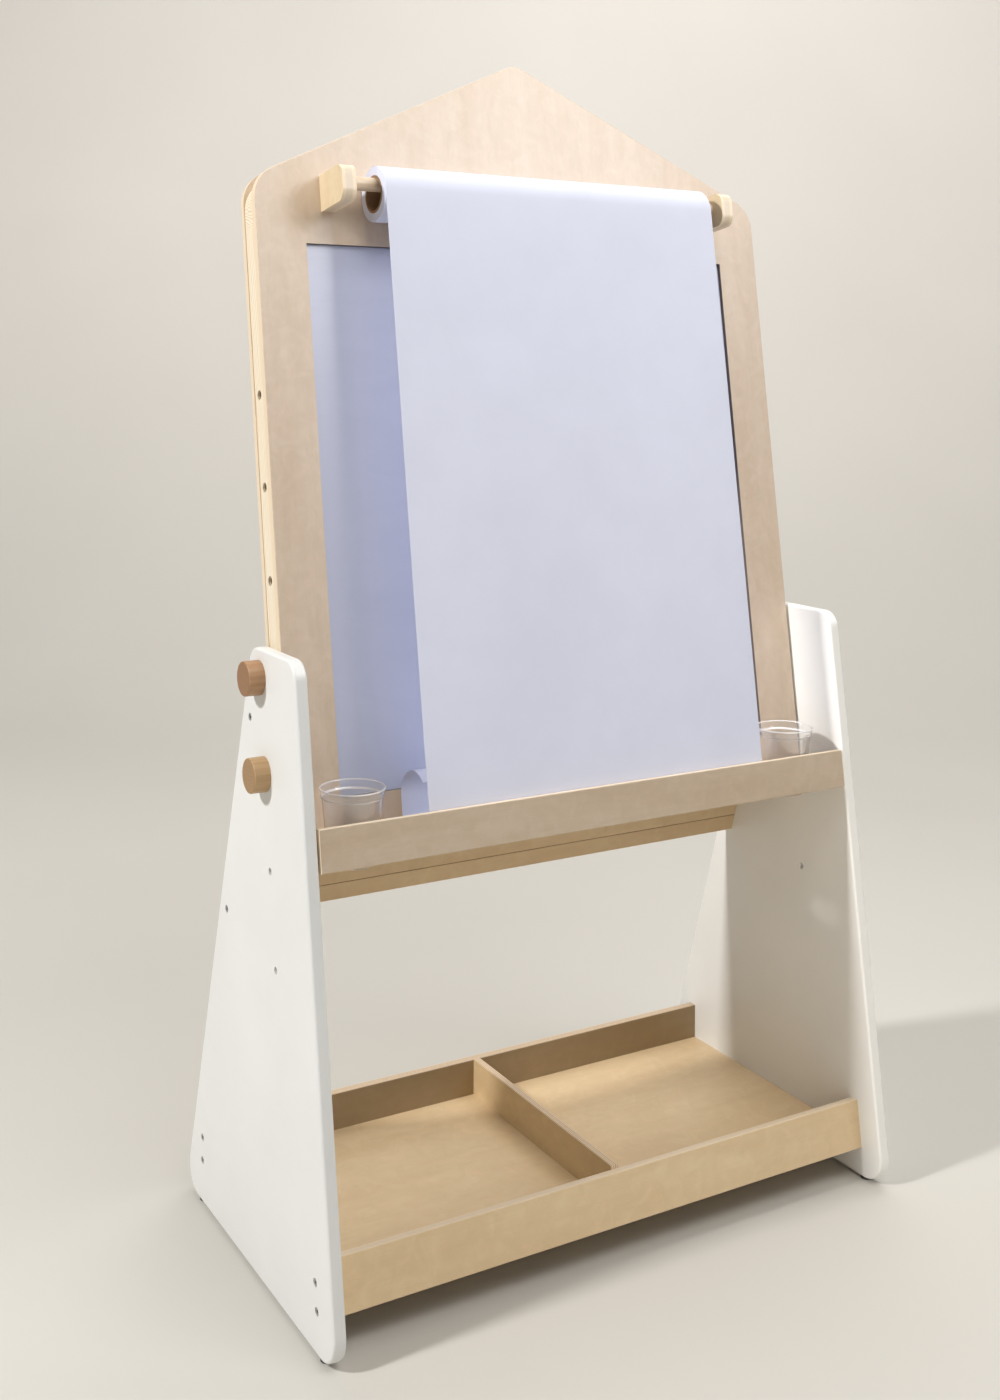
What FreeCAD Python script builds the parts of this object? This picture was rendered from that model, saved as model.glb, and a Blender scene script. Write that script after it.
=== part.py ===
"""Kids easel: a white A-frame stand with a shelf, and a house-shaped drawing board that slides up and down in it.

X runs across the easel, Y from front to back, Z up. The origin is on the floor, in the middle of the stand.
Each named sub-part is written to parts/NAME.step, in millimetres.
"""
import FreeCAD, Part

import math
import os

V = FreeCAD.Vector
UP_X = V(1, 0, 0)
UP_Z = V(0, 0, 1)

# ---- driving dimensions: stand ------------------------------------------------------------------
WIDTH = 742.0             # outside of one side panel to outside of the other
PANEL_T = 15.0            # side panel thickness
FOOT_T = 3.0              # foot glides lift the panels this much
PANEL_TOP = 693.0         # height of the top of the side panels
LEAN = 9.2                # lean of the front edges and of the board, degrees from upright
FRONT_Y = -217.24         # where the front edges' line meets the floor
REAR_Y = 222.76           # where the rear edges' line meets the floor
REAR_TOP_Y = 14.26        # where the rear edges' line meets the panel top
BOTTOM_CORNER_R = 30.0
TOP_REAR_CORNER_R = 25.0
TOP_FRONT_CORNER_R = 22.0
PANEL_EDGE_R = 3.0        # roundover of the panels' edges
GLIDE_R = 6.5
GLIDE_Y = (-179.2, 174.8)

SHELF_TOP = 51.5          # top of the shelf floor
SHELF_T = 9.0
RAIL_T = 12.0             # shelf rails and rear rails
RAIL_SET_BACK = 32.0      # front rail's face behind the panels' front edges
RAIL_LOW = 44.6           # front rail's lower edge, measured up the lean
RAIL_H = 57.4
REAR_RAIL_Y = 158.8       # inner face of the shelf's rear rail
REAR_RAIL_LOW = 40.0
REAR_RAIL_TOP = 97.0
DIVIDER_T = 9.0
SCREW_HEAD_R = 4.5
SCREW_R = 2.5
SCREW_LEN = 45.0

BACK_CENTRE = 22.0        # middle of the rear rails, in front of the rear edges
BACK_RAIL_H = 22.0
BACK_LOW_Z = 379.6        # middle of the lower rear rail
BACK_HIGH_Z = 613.6       # middle of the upper rear rail
BACK_PANEL_T = 9.0

# ---- driving dimensions: board, measured up the lean (s) and behind the front edges (d) -----------
BOARD_W = 706.0
BOARD_LOW = 476.0
EAVE = 1239.0
APEX = 1403.0
EAVE_R = 40.0
APEX_R = 30.0
FOOT_R = 4.0
BOARD_FACE = 76.6         # depth of the board's front face
PLY_T = 9.0
CORE_T = 24.0
WINDOW_W = 587.0
WINDOW_LOW = 550.0
WINDOW_HIGH = 1164.0
WRITING_RECESS = 5.0
BACKING_T = 3.0
STILE_W = 50.0
CORE_RECESS = 1.0         # the core is set in from the plywood's edges
CORE_ROOF_RECESS = 5.0
CORE_RAIL_H = 60.0

HOLE_PITCH = 102.7        # height steps
KNOB_S = 686.0            # upper knob, up the lean
FREE_STEPS = 3            # threaded inserts above the upper knob
STUD_R = 4.0
HOLE_R = 4.1
INSERT_R = 5.5
INSERT_LEN = 14.0
INSERT_SUNK = 3.0
KNOB_R = 19.0
KNOB_LEN = 18.5

# ---- driving dimensions: tray, cups, roll and paper ------------------------------------------------
TRAY_FACE = -1.5
TRAY_RAIL_T = 9.0
TRAY_LOW = 486.2
TRAY_RAIL_H = 45.0
TRAY_W = 708.0
TRAY_FLOOR_TOP = 492.0
TRAY_FLOOR_T = 9.0
CUP_X = (-297.0, -98.0, 98.0, 297.0)
CUP_Y = -91.5
CUP_HOLE_R = 28.6
CUP_BOTTOM = 470.0
CUP_TOP = 552.0
CUP_BOTTOM_R = 26.0
CUP_NECK_R = 33.2
CUP_RIM_R = 35.4
CUP_RIM_H = 10.0
CUP_WALL = 1.3

HOLDER_X = (256.0, 273.0)
HOLDER_LOW = 1201.0
HOLDER_H = 42.0
HOLDER_FRONT = 15.5
HOLDER_R = 13.0
DOWEL_R = 8.0
DOWEL_HOLE_R = 8.4
DOWEL_S = 1227.0
DOWEL_D = 42.0
DOWEL_X = (-263.0, 262.5)
HOLE_DEPTH = (14.0, 7.0)  # left, right
ROLL_X = (-222.0, 235.0)
ROLL_R = 31.5
CORE_R = 21.5
CORE_BORE_R = 19.0
CORE_GAP = 0.3            # the core hangs this close to the dowel
PAPER_T = 0.4
SHEET_TOP_D = 11.4
SHEET_LOW_D = 8.2
LOOP_BACK_D = 73.6
LOOP_LOW = 516.0
LOOP_TURN_R = 8.0
LOOP_TOP = 572.5
LOOP_END = 142.0          # how far the curl turns over, degrees

TILT = math.radians(LEAN)
REAR_SLOPE = (REAR_TOP_Y - REAR_Y) / PANEL_TOP
REAR_TILT = math.atan(REAR_SLOPE)
INNER_X = WIDTH / 2 - PANEL_T
BOARD_BACK = BOARD_FACE + 2 * PLY_T + CORE_T
CORE_FRONT = BOARD_FACE + PLY_T
CORE_BACK = CORE_FRONT + CORE_T
BOARD_MIDDLE = (BOARD_FACE + BOARD_BACK) / 2

parts = {}


# ---- helpers ---------------------------------------------------------------------------------------
def front_y(z, d=0.0):
    """Y of a plane parallel to the front edges, d behind them, at height z."""
    return FRONT_Y + z * math.tan(TILT) + d / math.cos(TILT)


def rear_y(z, inward=0.0):
    """Y of a plane parallel to the rear edges, a distance in front of them, at height z."""
    return REAR_Y + z * REAR_SLOPE - inward / math.cos(REAR_TILT)


def box(x0, x1, y0, y1, z0, z1):
    return Part.makeBox(x1 - x0, y1 - y0, z1 - z0, V(x0, y0, z0))


def leaned(shape):
    """Turns a solid drawn with d along Y and s along Z into its leaning place."""
    shape = shape.copy()
    shape.rotate(V(0, 0, 0), UP_X, -LEAN)
    shape.translate(V(0, FRONT_Y, 0))
    return shape


def lean_point(x, d, s):
    """The place in the row frame of a point given in leaning coordinates."""
    return V(
        x,
        FRONT_Y + s * math.sin(TILT) + d * math.cos(TILT),
        s * math.cos(TILT) - d * math.sin(TILT),
    )


def rounded_outline(corners):
    """A closed wire through (point, radius) corners, each corner an arc of its radius."""
    edges = []
    starts = []
    ends = []
    count = len(corners)
    for i, (point, radius) in enumerate(corners):
        to_last = (corners[i - 1][0] - point).normalize()
        to_next = (corners[(i + 1) % count][0] - point).normalize()
        if radius == 0:
            starts.append(point)
            ends.append(point)
            continue
        half = math.acos(max(-1.0, min(1.0, to_last.dot(to_next)))) / 2
        reach = radius / math.tan(half)
        first = point + to_last * reach
        last = point + to_next * reach
        bisector = (to_last + to_next).normalize()
        middle = point + bisector * (radius / math.sin(half) - radius)
        edges.append((i, Part.Arc(first, middle, last).toShape()))
        starts.append(first)
        ends.append(last)
    ordered = []
    arcs = dict(edges)
    for i in range(count):
        if i in arcs:
            ordered.append(arcs[i])
        ordered.append(Part.LineSegment(ends[i], starts[(i + 1) % count]).toShape())
    return Part.Wire(ordered)


def plate(corners, direction, inner=()):
    """A flat plate from an outline and hole wires, extruded along direction."""
    face = Part.Face([rounded_outline(corners), *inner])
    face.validate()
    return face.extrude(direction)


def rounded_edges(shape, radius, choose):
    edges = [e for e in shape.Edges if choose(e)]
    return shape.makeFillet(radius, edges)


def on_plane(edge, axis, value):
    """True if an edge lies in the plane axis = value."""
    bounds = edge.BoundBox
    low = getattr(bounds, axis + "Min")
    high = getattr(bounds, axis + "Max")
    return abs(low - value) < 1e-6 and abs(high - value) < 1e-6


def group(solids):
    return Part.Compound(solids) if len(solids) > 1 else solids[0]


def mirrored(shape):
    return shape.mirror(V(0, 0, 0), UP_X)


# ---- stand -----------------------------------------------------------------------------------------
def knob_places():
    """(d, s) of the four stud holes of one side panel, top one first."""
    return [(BOARD_MIDDLE, KNOB_S - i * HOLE_PITCH) for i in range(4)]


def shelf_screw_places():
    """(y, z) of the screws through a side panel into the shelf's front and rear rails."""
    middle = RAIL_SET_BACK + RAIL_T / 2
    front = [lean_point(0, middle, RAIL_LOW + f * RAIL_H) for f in (0.17, 0.66)]
    rear_middle = REAR_RAIL_Y + RAIL_T / 2
    return [(p.y, p.z) for p in front] + [(rear_middle, z) for z in (53.6, 80.8)]


def back_screw_places():
    return [(rear_y(z, BACK_CENTRE), z) for z in (BACK_LOW_Z, BACK_HIGH_Z)]


def side_panel():
    """The right side panel, with its stud holes and countersunk screw holes."""
    x = INNER_X
    corners = [
        (V(x, front_y(FOOT_T), FOOT_T), BOTTOM_CORNER_R),
        (V(x, rear_y(FOOT_T), FOOT_T), BOTTOM_CORNER_R),
        (V(x, rear_y(PANEL_TOP), PANEL_TOP), TOP_REAR_CORNER_R),
        (V(x, front_y(PANEL_TOP), PANEL_TOP), TOP_FRONT_CORNER_R),
    ]
    panel = plate(corners, V(PANEL_T, 0, 0))
    outer = INNER_X + PANEL_T
    panel = rounded_edges(
        panel, PANEL_EDGE_R, lambda e: on_plane(e, "X", x) or on_plane(e, "X", outer)
    )
    for d, s in knob_places():
        start = lean_point(x - 1, d, s)
        panel = panel.cut(Part.makeCylinder(HOLE_R, PANEL_T + 2, start, UP_X))
    for y, z in shelf_screw_places() + back_screw_places():
        panel = panel.cut(Part.makeCylinder(SCREW_R, PANEL_T + 2, V(x - 1, y, z), UP_X))
        panel = panel.cut(Part.makeCylinder(SCREW_HEAD_R, 4.0, V(outer - 3.5, y, z), UP_X))
    return panel


def screw(y, z):
    """A flat-headed screw with a hexagon socket, driven inwards through the right side panel."""
    outer = INNER_X + PANEL_T
    head_face = outer - 0.5
    head = Part.makeCylinder(SCREW_HEAD_R - 0.05, 3.0, V(head_face - 3.0, y, z), UP_X)
    shank_len = SCREW_LEN - 3.0
    shank = Part.makeCylinder(SCREW_R - 0.05, shank_len, V(outer - SCREW_LEN, y, z), UP_X)
    corners = []
    for i in range(6):
        angle = math.radians(60 * i)
        corners.append((V(head_face - 2.0, y + 1.8 * math.cos(angle), z + 1.8 * math.sin(angle)), 0))
    socket = plate(corners, V(3.0, 0, 0))
    return head.fuse(shank).removeSplitter().cut(socket)


def screw_hole(y, z):
    outer = INNER_X + PANEL_T
    return Part.makeCylinder(SCREW_R, SCREW_LEN, V(outer - SCREW_LEN - 0.5, y, z), UP_X)


def both_ends(places, make):
    solids = []
    for y, z in places:
        right = make(y, z)
        solids.append(right)
        solids.append(mirrored(right))
    return solids


def build_stand():
    right = side_panel()
    parts["right_side_panel"] = right
    parts["left_side_panel"] = mirrored(right)

    glides = []
    for side in (-1, 1):
        for y in GLIDE_Y:
            centre = V(side * (INNER_X + PANEL_T / 2), y, 0)
            disc = Part.makeCylinder(GLIDE_R, FOOT_T, centre, UP_Z)
            disc = rounded_edges(disc, 0.8, lambda e: on_plane(e, "Z", 0))
            glides.append(disc)
    parts["foot_glides"] = group(glides)

    screw_holes = both_ends(shelf_screw_places(), screw_hole)
    front_rail = leaned(
        rounded_edges(
            box(-INNER_X, INNER_X, RAIL_SET_BACK, RAIL_SET_BACK + RAIL_T, RAIL_LOW, RAIL_LOW + RAIL_H),
            1.0,
            lambda e: e.BoundBox.XLength > INNER_X,
        )
    )
    rear_rail = rounded_edges(
        box(-INNER_X, INNER_X, REAR_RAIL_Y, REAR_RAIL_Y + RAIL_T, REAR_RAIL_LOW, REAR_RAIL_TOP),
        1.0,
        lambda e: e.BoundBox.XLength > INNER_X,
    )
    for hole in screw_holes:
        front_rail = front_rail.cut(hole)
        rear_rail = rear_rail.cut(hole)
    parts["shelf_front_rail"] = front_rail
    parts["shelf_rear_rail"] = rear_rail

    low = SHELF_TOP - SHELF_T
    back_of_rail = RAIL_SET_BACK + RAIL_T
    floor = [
        (V(-INNER_X, front_y(low, back_of_rail), low), 0),
        (V(-INNER_X, REAR_RAIL_Y, low), 0),
        (V(-INNER_X, REAR_RAIL_Y, SHELF_TOP), 0),
        (V(-INNER_X, front_y(SHELF_TOP, back_of_rail), SHELF_TOP), 0),
    ]
    parts["shelf_floor"] = plate(floor, V(2 * INNER_X, 0, 0))

    divider_top = lean_point(0, 0, RAIL_LOW + RAIL_H).z - 3.0
    divider = [
        (V(-DIVIDER_T / 2, front_y(SHELF_TOP, back_of_rail), SHELF_TOP), 0),
        (V(-DIVIDER_T / 2, REAR_RAIL_Y, SHELF_TOP), 0),
        (V(-DIVIDER_T / 2, REAR_RAIL_Y, divider_top), 0),
        (V(-DIVIDER_T / 2, front_y(divider_top, back_of_rail), divider_top), 0),
    ]
    parts["shelf_divider"] = rounded_edges(
        plate(divider, V(DIVIDER_T, 0, 0)),
        0.8,
        lambda e: on_plane(e, "Z", divider_top) and e.BoundBox.YLength > DIVIDER_T,
    )
    parts["shelf_screws"] = group(both_ends(shelf_screw_places(), screw))
    build_back()


def back_strip(z_low, z_high, front_inset, thickness):
    """A plate across the stand, parallel to the rear edges."""
    points = [
        (z_low, front_inset),
        (z_low, front_inset - thickness),
        (z_high, front_inset - thickness),
        (z_high, front_inset),
    ]
    corners = [(V(-INNER_X, rear_y(z, inset), z), 0) for z, inset in points]
    return plate(corners, V(2 * INNER_X, 0, 0))


def build_back():
    half = BACK_RAIL_H / 2 * math.cos(REAR_TILT)
    front_inset = BACK_CENTRE + RAIL_T / 2
    holes = both_ends(back_screw_places(), screw_hole)
    for name, z in (("rear_lower_rail", BACK_LOW_Z), ("rear_upper_rail", BACK_HIGH_Z)):
        rail = back_strip(z - half, z + half, front_inset, RAIL_T)
        for hole in holes:
            rail = rail.cut(hole)
        parts[name] = rail
    seam = 0.8
    parts["rear_panel"] = back_strip(
        BACK_LOW_Z + half + seam, BACK_HIGH_Z - half, front_inset, BACK_PANEL_T
    )
    parts["rear_rail_screws"] = group(both_ends(back_screw_places(), screw))


# ---- board -----------------------------------------------------------------------------------------
def house_corners(d, half_width, low, eave, apex, corner_r, apex_r):
    return [
        (V(-half_width, d, low), FOOT_R),
        (V(half_width, d, low), FOOT_R),
        (V(half_width, d, eave), corner_r),
        (V(0, d, apex), apex_r),
        (V(-half_width, d, eave), corner_r),
    ]


def window_wire(d):
    half = WINDOW_W / 2
    return rounded_outline(
        [
            (V(-half, d, WINDOW_LOW), 0),
            (V(half, d, WINDOW_LOW), 0),
            (V(half, d, WINDOW_HIGH), 0),
            (V(-half, d, WINDOW_HIGH), 0),
        ]
    )


def plywood_frame(d, outer_face):
    """A house-shaped plywood sheet with the window cut out, and its outside edges rounded."""
    corners = house_corners(d, BOARD_W / 2, BOARD_LOW, EAVE, APEX, EAVE_R, APEX_R)
    sheet = plate(corners, V(0, PLY_T, 0), [window_wire(d)])
    return rounded_edges(
        sheet,
        1.5,
        lambda e: on_plane(e, "Y", outer_face)
        and max(abs(e.BoundBox.XMin), abs(e.BoundBox.XMax), e.BoundBox.ZMax) > WINDOW_HIGH + 20
        or on_plane(e, "Y", outer_face)
        and max(abs(e.BoundBox.XMin), abs(e.BoundBox.XMax)) > BOARD_W / 2 - 1,
    )


def insert_places():
    """s of the threaded inserts in one edge of the board, lowest first."""
    return [KNOB_S + (i - 1) * HOLE_PITCH for i in range(FREE_STEPS + 2)]


def build_board():
    parts["board_front_frame"] = leaned(plywood_frame(BOARD_FACE, BOARD_FACE))
    parts["board_back_frame"] = leaned(plywood_frame(CORE_BACK, BOARD_BACK))

    edge = BOARD_W / 2 - CORE_RECESS
    inner = edge - STILE_W
    gable_low = WINDOW_HIGH + 16.0
    stile = box(inner, edge, CORE_FRONT, CORE_BACK, BOARD_LOW, gable_low)
    inserts = []
    for s in insert_places():
        hole = Part.makeCylinder(INSERT_R, 22.0, V(edge - 22.0, BOARD_MIDDLE, s), UP_X)
        stile = stile.cut(hole)
        start = edge - INSERT_SUNK - INSERT_LEN
        sleeve = Part.makeCylinder(INSERT_R, INSERT_LEN, V(start, BOARD_MIDDLE, s), UP_X)
        bore = Part.makeCylinder(STUD_R + 0.1, INSERT_LEN, V(start, BOARD_MIDDLE, s), UP_X)
        inserts.append(sleeve.cut(bore))
    parts["core_stile_right"] = leaned(stile)
    parts["core_stile_left"] = leaned(mirrored(stile))
    parts["inserts_right"] = leaned(group(inserts))
    parts["inserts_left"] = leaned(group([mirrored(i) for i in inserts]))
    parts["core_bottom_rail"] = leaned(
        box(-inner, inner, CORE_FRONT, CORE_BACK, BOARD_LOW, BOARD_LOW + CORE_RAIL_H)
    )
    gable_corners = [
        (V(-edge, CORE_FRONT, gable_low), 0),
        (V(edge, CORE_FRONT, gable_low), 0),
        (V(edge, CORE_FRONT, EAVE - 2 * CORE_ROOF_RECESS), EAVE_R),
        (V(0, CORE_FRONT, APEX - CORE_ROOF_RECESS), APEX_R),
        (V(-edge, CORE_FRONT, EAVE - 2 * CORE_ROOF_RECESS), EAVE_R),
    ]
    parts["core_gable"] = leaned(plate(gable_corners, V(0, CORE_T, 0)))

    half = WINDOW_W / 2 - 0.2
    low = WINDOW_LOW + 0.2
    high = WINDOW_HIGH - 0.2
    writing_face = BOARD_FACE + WRITING_RECESS
    parts["whiteboard"] = leaned(box(-half, half, writing_face, CORE_FRONT, low, high))
    parts["whiteboard_backing"] = leaned(
        box(-inner, inner, CORE_FRONT, CORE_FRONT + BACKING_T, BOARD_LOW + CORE_RAIL_H, gable_low)
    )
    parts["chalkboard"] = leaned(box(-half, half, CORE_BACK, BOARD_BACK - 1.0, low, high))


def stud_body(side, s):
    """A clamping knob's wooden cap and its steel stud, for one side and height."""
    outer = side * WIDTH / 2
    direction = V(side, 0, 0)
    foot = lean_point(outer, BOARD_MIDDLE, s)
    cap = Part.makeCylinder(KNOB_R, KNOB_LEN, foot, direction)
    end_x = outer + side * KNOB_LEN
    cap = rounded_edges(cap, 1.6, lambda e: on_plane(e, "X", end_x))
    tip_x = side * (BOARD_W / 2 + 1.0)
    stud_end = outer + side * KNOB_LEN * 0.6
    length = abs(stud_end - tip_x)
    stud = Part.makeCylinder(STUD_R, length, lean_point(tip_x, BOARD_MIDDLE, s), direction)
    return cap.cut(stud), stud


def build_knobs():
    for side, side_name in ((-1, "left"), (1, "right")):
        for level, level_name in ((0, "upper"), (1, "lower")):
            cap, stud = stud_body(side, KNOB_S - level * HOLE_PITCH)
            parts[f"knob_{side_name}_{level_name}"] = cap
            parts[f"stud_{side_name}_{level_name}"] = stud


# ---- tray and cups -----------------------------------------------------------------------------------
def build_tray():
    half = TRAY_W / 2
    rail_back = TRAY_FACE + TRAY_RAIL_T
    rail = box(-half, half, TRAY_FACE, rail_back, TRAY_LOW, TRAY_LOW + TRAY_RAIL_H)
    parts["tray_front_rail"] = leaned(
        rounded_edges(rail, 1.2, lambda e: e.BoundBox.XLength > half)
    )
    low = TRAY_FLOOR_TOP - TRAY_FLOOR_T
    corners = [
        (V(-half, front_y(low, rail_back), low), 0),
        (V(-half, front_y(low, BOARD_FACE), low), 0),
        (V(-half, front_y(TRAY_FLOOR_TOP, BOARD_FACE), TRAY_FLOOR_TOP), 0),
        (V(-half, front_y(TRAY_FLOOR_TOP, rail_back), TRAY_FLOOR_TOP), 0),
    ]
    floor = plate(corners, V(TRAY_W, 0, 0))
    for x in CUP_X:
        floor = floor.cut(Part.makeCylinder(CUP_HOLE_R, 3 * TRAY_FLOOR_T, V(x, CUP_Y, low - 5), UP_Z))
    parts["tray_floor"] = floor

    screws = []
    for x in (-330.0, -200.0, 0.0, 200.0, 330.0):
        middle = (low + TRAY_FLOOR_TOP) / 2
        start = V(x, front_y(middle, CORE_BACK - 0.5), middle)
        screws.append(Part.makeCylinder(2.0, CORE_T + PLY_T + 6, start, V(0, -1, 0)))
    solid_screws = group(screws)
    for name in ("core_bottom_rail", "core_stile_left", "core_stile_right"):
        parts[name] = parts[name].cut(solid_screws)
    parts["board_front_frame"] = parts["board_front_frame"].cut(solid_screws)
    parts["tray_floor"] = parts["tray_floor"].cut(solid_screws)
    parts["tray_screws"] = solid_screws


def cup(x):
    """A clear tapered cup with a rolled rim, standing in its hole in the tray."""
    neck = CUP_TOP - CUP_RIM_H
    outline = [
        (0.0, CUP_BOTTOM),
        (CUP_BOTTOM_R, CUP_BOTTOM),
        (CUP_NECK_R, neck),
        (CUP_RIM_R, neck),
        (CUP_RIM_R, CUP_TOP),
        (CUP_RIM_R - CUP_WALL, CUP_TOP),
        (CUP_RIM_R - CUP_WALL, neck + CUP_WALL),
        (CUP_NECK_R - CUP_WALL, neck + CUP_WALL),
        (CUP_BOTTOM_R - CUP_WALL, CUP_BOTTOM + CUP_WALL),
        (0.0, CUP_BOTTOM + CUP_WALL),
        (0.0, CUP_BOTTOM),
    ]
    wire = Part.makePolygon([V(x + r, CUP_Y, z) for r, z in outline])
    return Part.Face(wire).revolve(V(x, CUP_Y, 0), UP_Z, 360)


# ---- roll holder and paper ----------------------------------------------------------------------------
def roll_centre():
    """The roll hangs with its core's bore resting on the dowel."""
    drop = CORE_BORE_R - DOWEL_R - CORE_GAP
    centre = lean_point(0, DOWEL_D, DOWEL_S)
    return V(0, centre.y, centre.z - drop)


def build_roll():
    front, back = HOLDER_FRONT, BOARD_FACE
    low, high = HOLDER_LOW, HOLDER_LOW + HOLDER_H
    for side, name, depth in ((-1, "left", HOLE_DEPTH[0]), (1, "right", HOLE_DEPTH[1])):
        inner_x = side * HOLDER_X[0]
        thickness = side * (HOLDER_X[1] - HOLDER_X[0])
        corners = [
            (V(inner_x, back, low), 0),
            (V(inner_x, front, low), HOLDER_R),
            (V(inner_x, front, high), HOLDER_R),
            (V(inner_x, back, high), 0),
        ]
        block = plate(corners, V(thickness, 0, 0))
        hole = Part.makeCylinder(DOWEL_HOLE_R, depth, V(inner_x, DOWEL_D, DOWEL_S), V(side, 0, 0))
        parts[f"roll_holder_{name}"] = leaned(block.cut(hole))

    holder_screws = []
    for side in (-1, 1):
        middle_x = side * (HOLDER_X[0] + HOLDER_X[1]) / 2
        for s in (low + 9.0, high - 9.0):
            start = V(middle_x, BOARD_BACK - PLY_T - 1.0, s)
            holder_screws.append(Part.makeCylinder(2.0, 52.0, start, V(0, -1, 0)))
    screws = leaned(group(holder_screws))
    for name in ("roll_holder_left", "roll_holder_right", "board_front_frame", "core_gable"):
        parts[name] = parts[name].cut(screws)
    parts["holder_screws"] = screws

    dowel = Part.makeCylinder(
        DOWEL_R, DOWEL_X[1] - DOWEL_X[0], V(DOWEL_X[0], DOWEL_D, DOWEL_S), UP_X
    )
    dowel = rounded_edges(dowel, 1.0, lambda e: e.BoundBox.XLength < 1.0 and e.Length > DOWEL_R)
    parts["roll_dowel"] = leaned(dowel)

    centre = roll_centre()
    start = V(ROLL_X[0], centre.y, centre.z)
    length = ROLL_X[1] - ROLL_X[0]
    core = Part.makeCylinder(CORE_R, length, start, UP_X)
    parts["roll_core"] = core.cut(Part.makeCylinder(CORE_BORE_R, length, start, UP_X))
    paper = Part.makeCylinder(ROLL_R, length, start, UP_X)
    parts["paper_roll"] = paper.cut(Part.makeCylinder(CORE_R, length, start, UP_X))


def strip_side(path, offset):
    """The edges of one face of a strip: the path's lines and arcs, moved sideways by offset."""
    x = ROLL_X[0]
    edges = []
    for kind, *data in path:
        if kind == "line":
            start, end = (V(x, *point) for point in data)
            along = (end - start).normalize()
            sideways = V(0, -along.z, along.y) * offset
            edges.append(Part.LineSegment(start + sideways, end + sideways).toShape())
            continue
        (d, s), radius, first, last = data
        radius = radius - offset if last > first else radius + offset
        angles = [math.radians(a) for a in (first, (first + last) / 2, last)]
        points = [V(x, d + radius * math.cos(a), s + radius * math.sin(a)) for a in angles]
        edges.append(Part.Arc(*points).toShape())
    return edges


def strip(path):
    """A strip of paper across the roll's width, along lines and tangent arcs in (d, s)."""
    near = strip_side(path, PAPER_T / 2)
    far = strip_side(path, -PAPER_T / 2)
    closing = [
        Part.LineSegment(near[i].Vertexes[-i].Point, far[i].Vertexes[-i].Point).toShape()
        for i in (0, -1)
    ]
    face = Part.Face(Part.Wire(Part.sortEdges([*near, *far, *closing])[0]))
    return leaned(face.extrude(V(ROLL_X[1] - ROLL_X[0], 0, 0)))


def build_paper():
    centre = roll_centre()
    top = centre.z * math.cos(TILT) + (centre.y - FRONT_Y) * math.sin(TILT)
    r = LOOP_TURN_R
    fold = LOOP_LOW + r
    front, back = SHEET_LOW_D, LOOP_BACK_D
    parts["paper_sheet"] = strip([("line", (SHEET_TOP_D, top), (front, fold))])
    arch_r = (back - front - 4.0) / 2
    arch_s = LOOP_TOP - arch_r
    parts["paper_loop"] = strip(
        [
            ("arc", (front + r, fold), r, 180, 270),
            ("line", (front + r, LOOP_LOW), (back - r, LOOP_LOW)),
            ("arc", (back - r, fold), r, 270, 360),
            ("line", (back, fold), (back, arch_s)),
            ("arc", (back - arch_r, arch_s), arch_r, 0, LOOP_END),
        ]
    )


def main():
    os.makedirs("parts", exist_ok=True)
    build_stand()
    build_board()
    build_knobs()
    build_tray()
    parts["cup_left"] = cup(CUP_X[0])
    parts["cup_right"] = cup(CUP_X[-1])
    build_roll()
    build_paper()
    for name, shape in parts.items():
        shape.exportStep(f"parts/{name}.step")
        volume = shape.Volume / 1000
        print(f"{name:24s} valid {shape.isValid()}  solids {len(shape.Solids)}  {volume:9.2f} cm3")
    hinge = roll_centre()
    print("roll axis y, z", round(hinge.y, 3), round(hinge.z, 3))
    for level in (0, 1):
        place = lean_point(0, BOARD_MIDDLE, KNOB_S - level * HOLE_PITCH)
        print("knob axis y, z", round(place.y, 3), round(place.z, 3))


main()
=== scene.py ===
"""Looks for the kids easel: materials, paper, cups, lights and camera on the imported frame. Metres, +Z up."""
import math

import bmesh
import bpy
from mathutils import Matrix, Vector


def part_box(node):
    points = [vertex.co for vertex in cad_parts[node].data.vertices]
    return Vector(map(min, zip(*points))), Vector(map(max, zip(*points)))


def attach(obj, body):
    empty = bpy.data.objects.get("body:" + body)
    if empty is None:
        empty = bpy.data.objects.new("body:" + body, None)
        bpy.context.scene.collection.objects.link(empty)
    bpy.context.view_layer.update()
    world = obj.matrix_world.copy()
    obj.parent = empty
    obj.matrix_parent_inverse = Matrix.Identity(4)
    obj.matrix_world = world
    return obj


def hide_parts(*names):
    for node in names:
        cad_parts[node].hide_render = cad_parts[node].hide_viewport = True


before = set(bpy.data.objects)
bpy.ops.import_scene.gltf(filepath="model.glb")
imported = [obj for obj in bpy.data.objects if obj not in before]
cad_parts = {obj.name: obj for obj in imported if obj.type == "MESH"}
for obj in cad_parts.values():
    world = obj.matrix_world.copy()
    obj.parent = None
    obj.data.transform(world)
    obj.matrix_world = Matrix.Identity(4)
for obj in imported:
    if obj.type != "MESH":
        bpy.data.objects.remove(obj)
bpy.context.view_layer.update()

scene = bpy.context.scene

# ---- camera: front-left of the easel, a little above its middle --------------------------------------
CAM_PLACE = Vector((-1.00309, -1.60046, 0.99684))
CAM_YAW = math.radians(30.37)
CAM_PITCH = math.radians(-1.86)
CAM_ROLL = math.radians(0.44)

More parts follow.
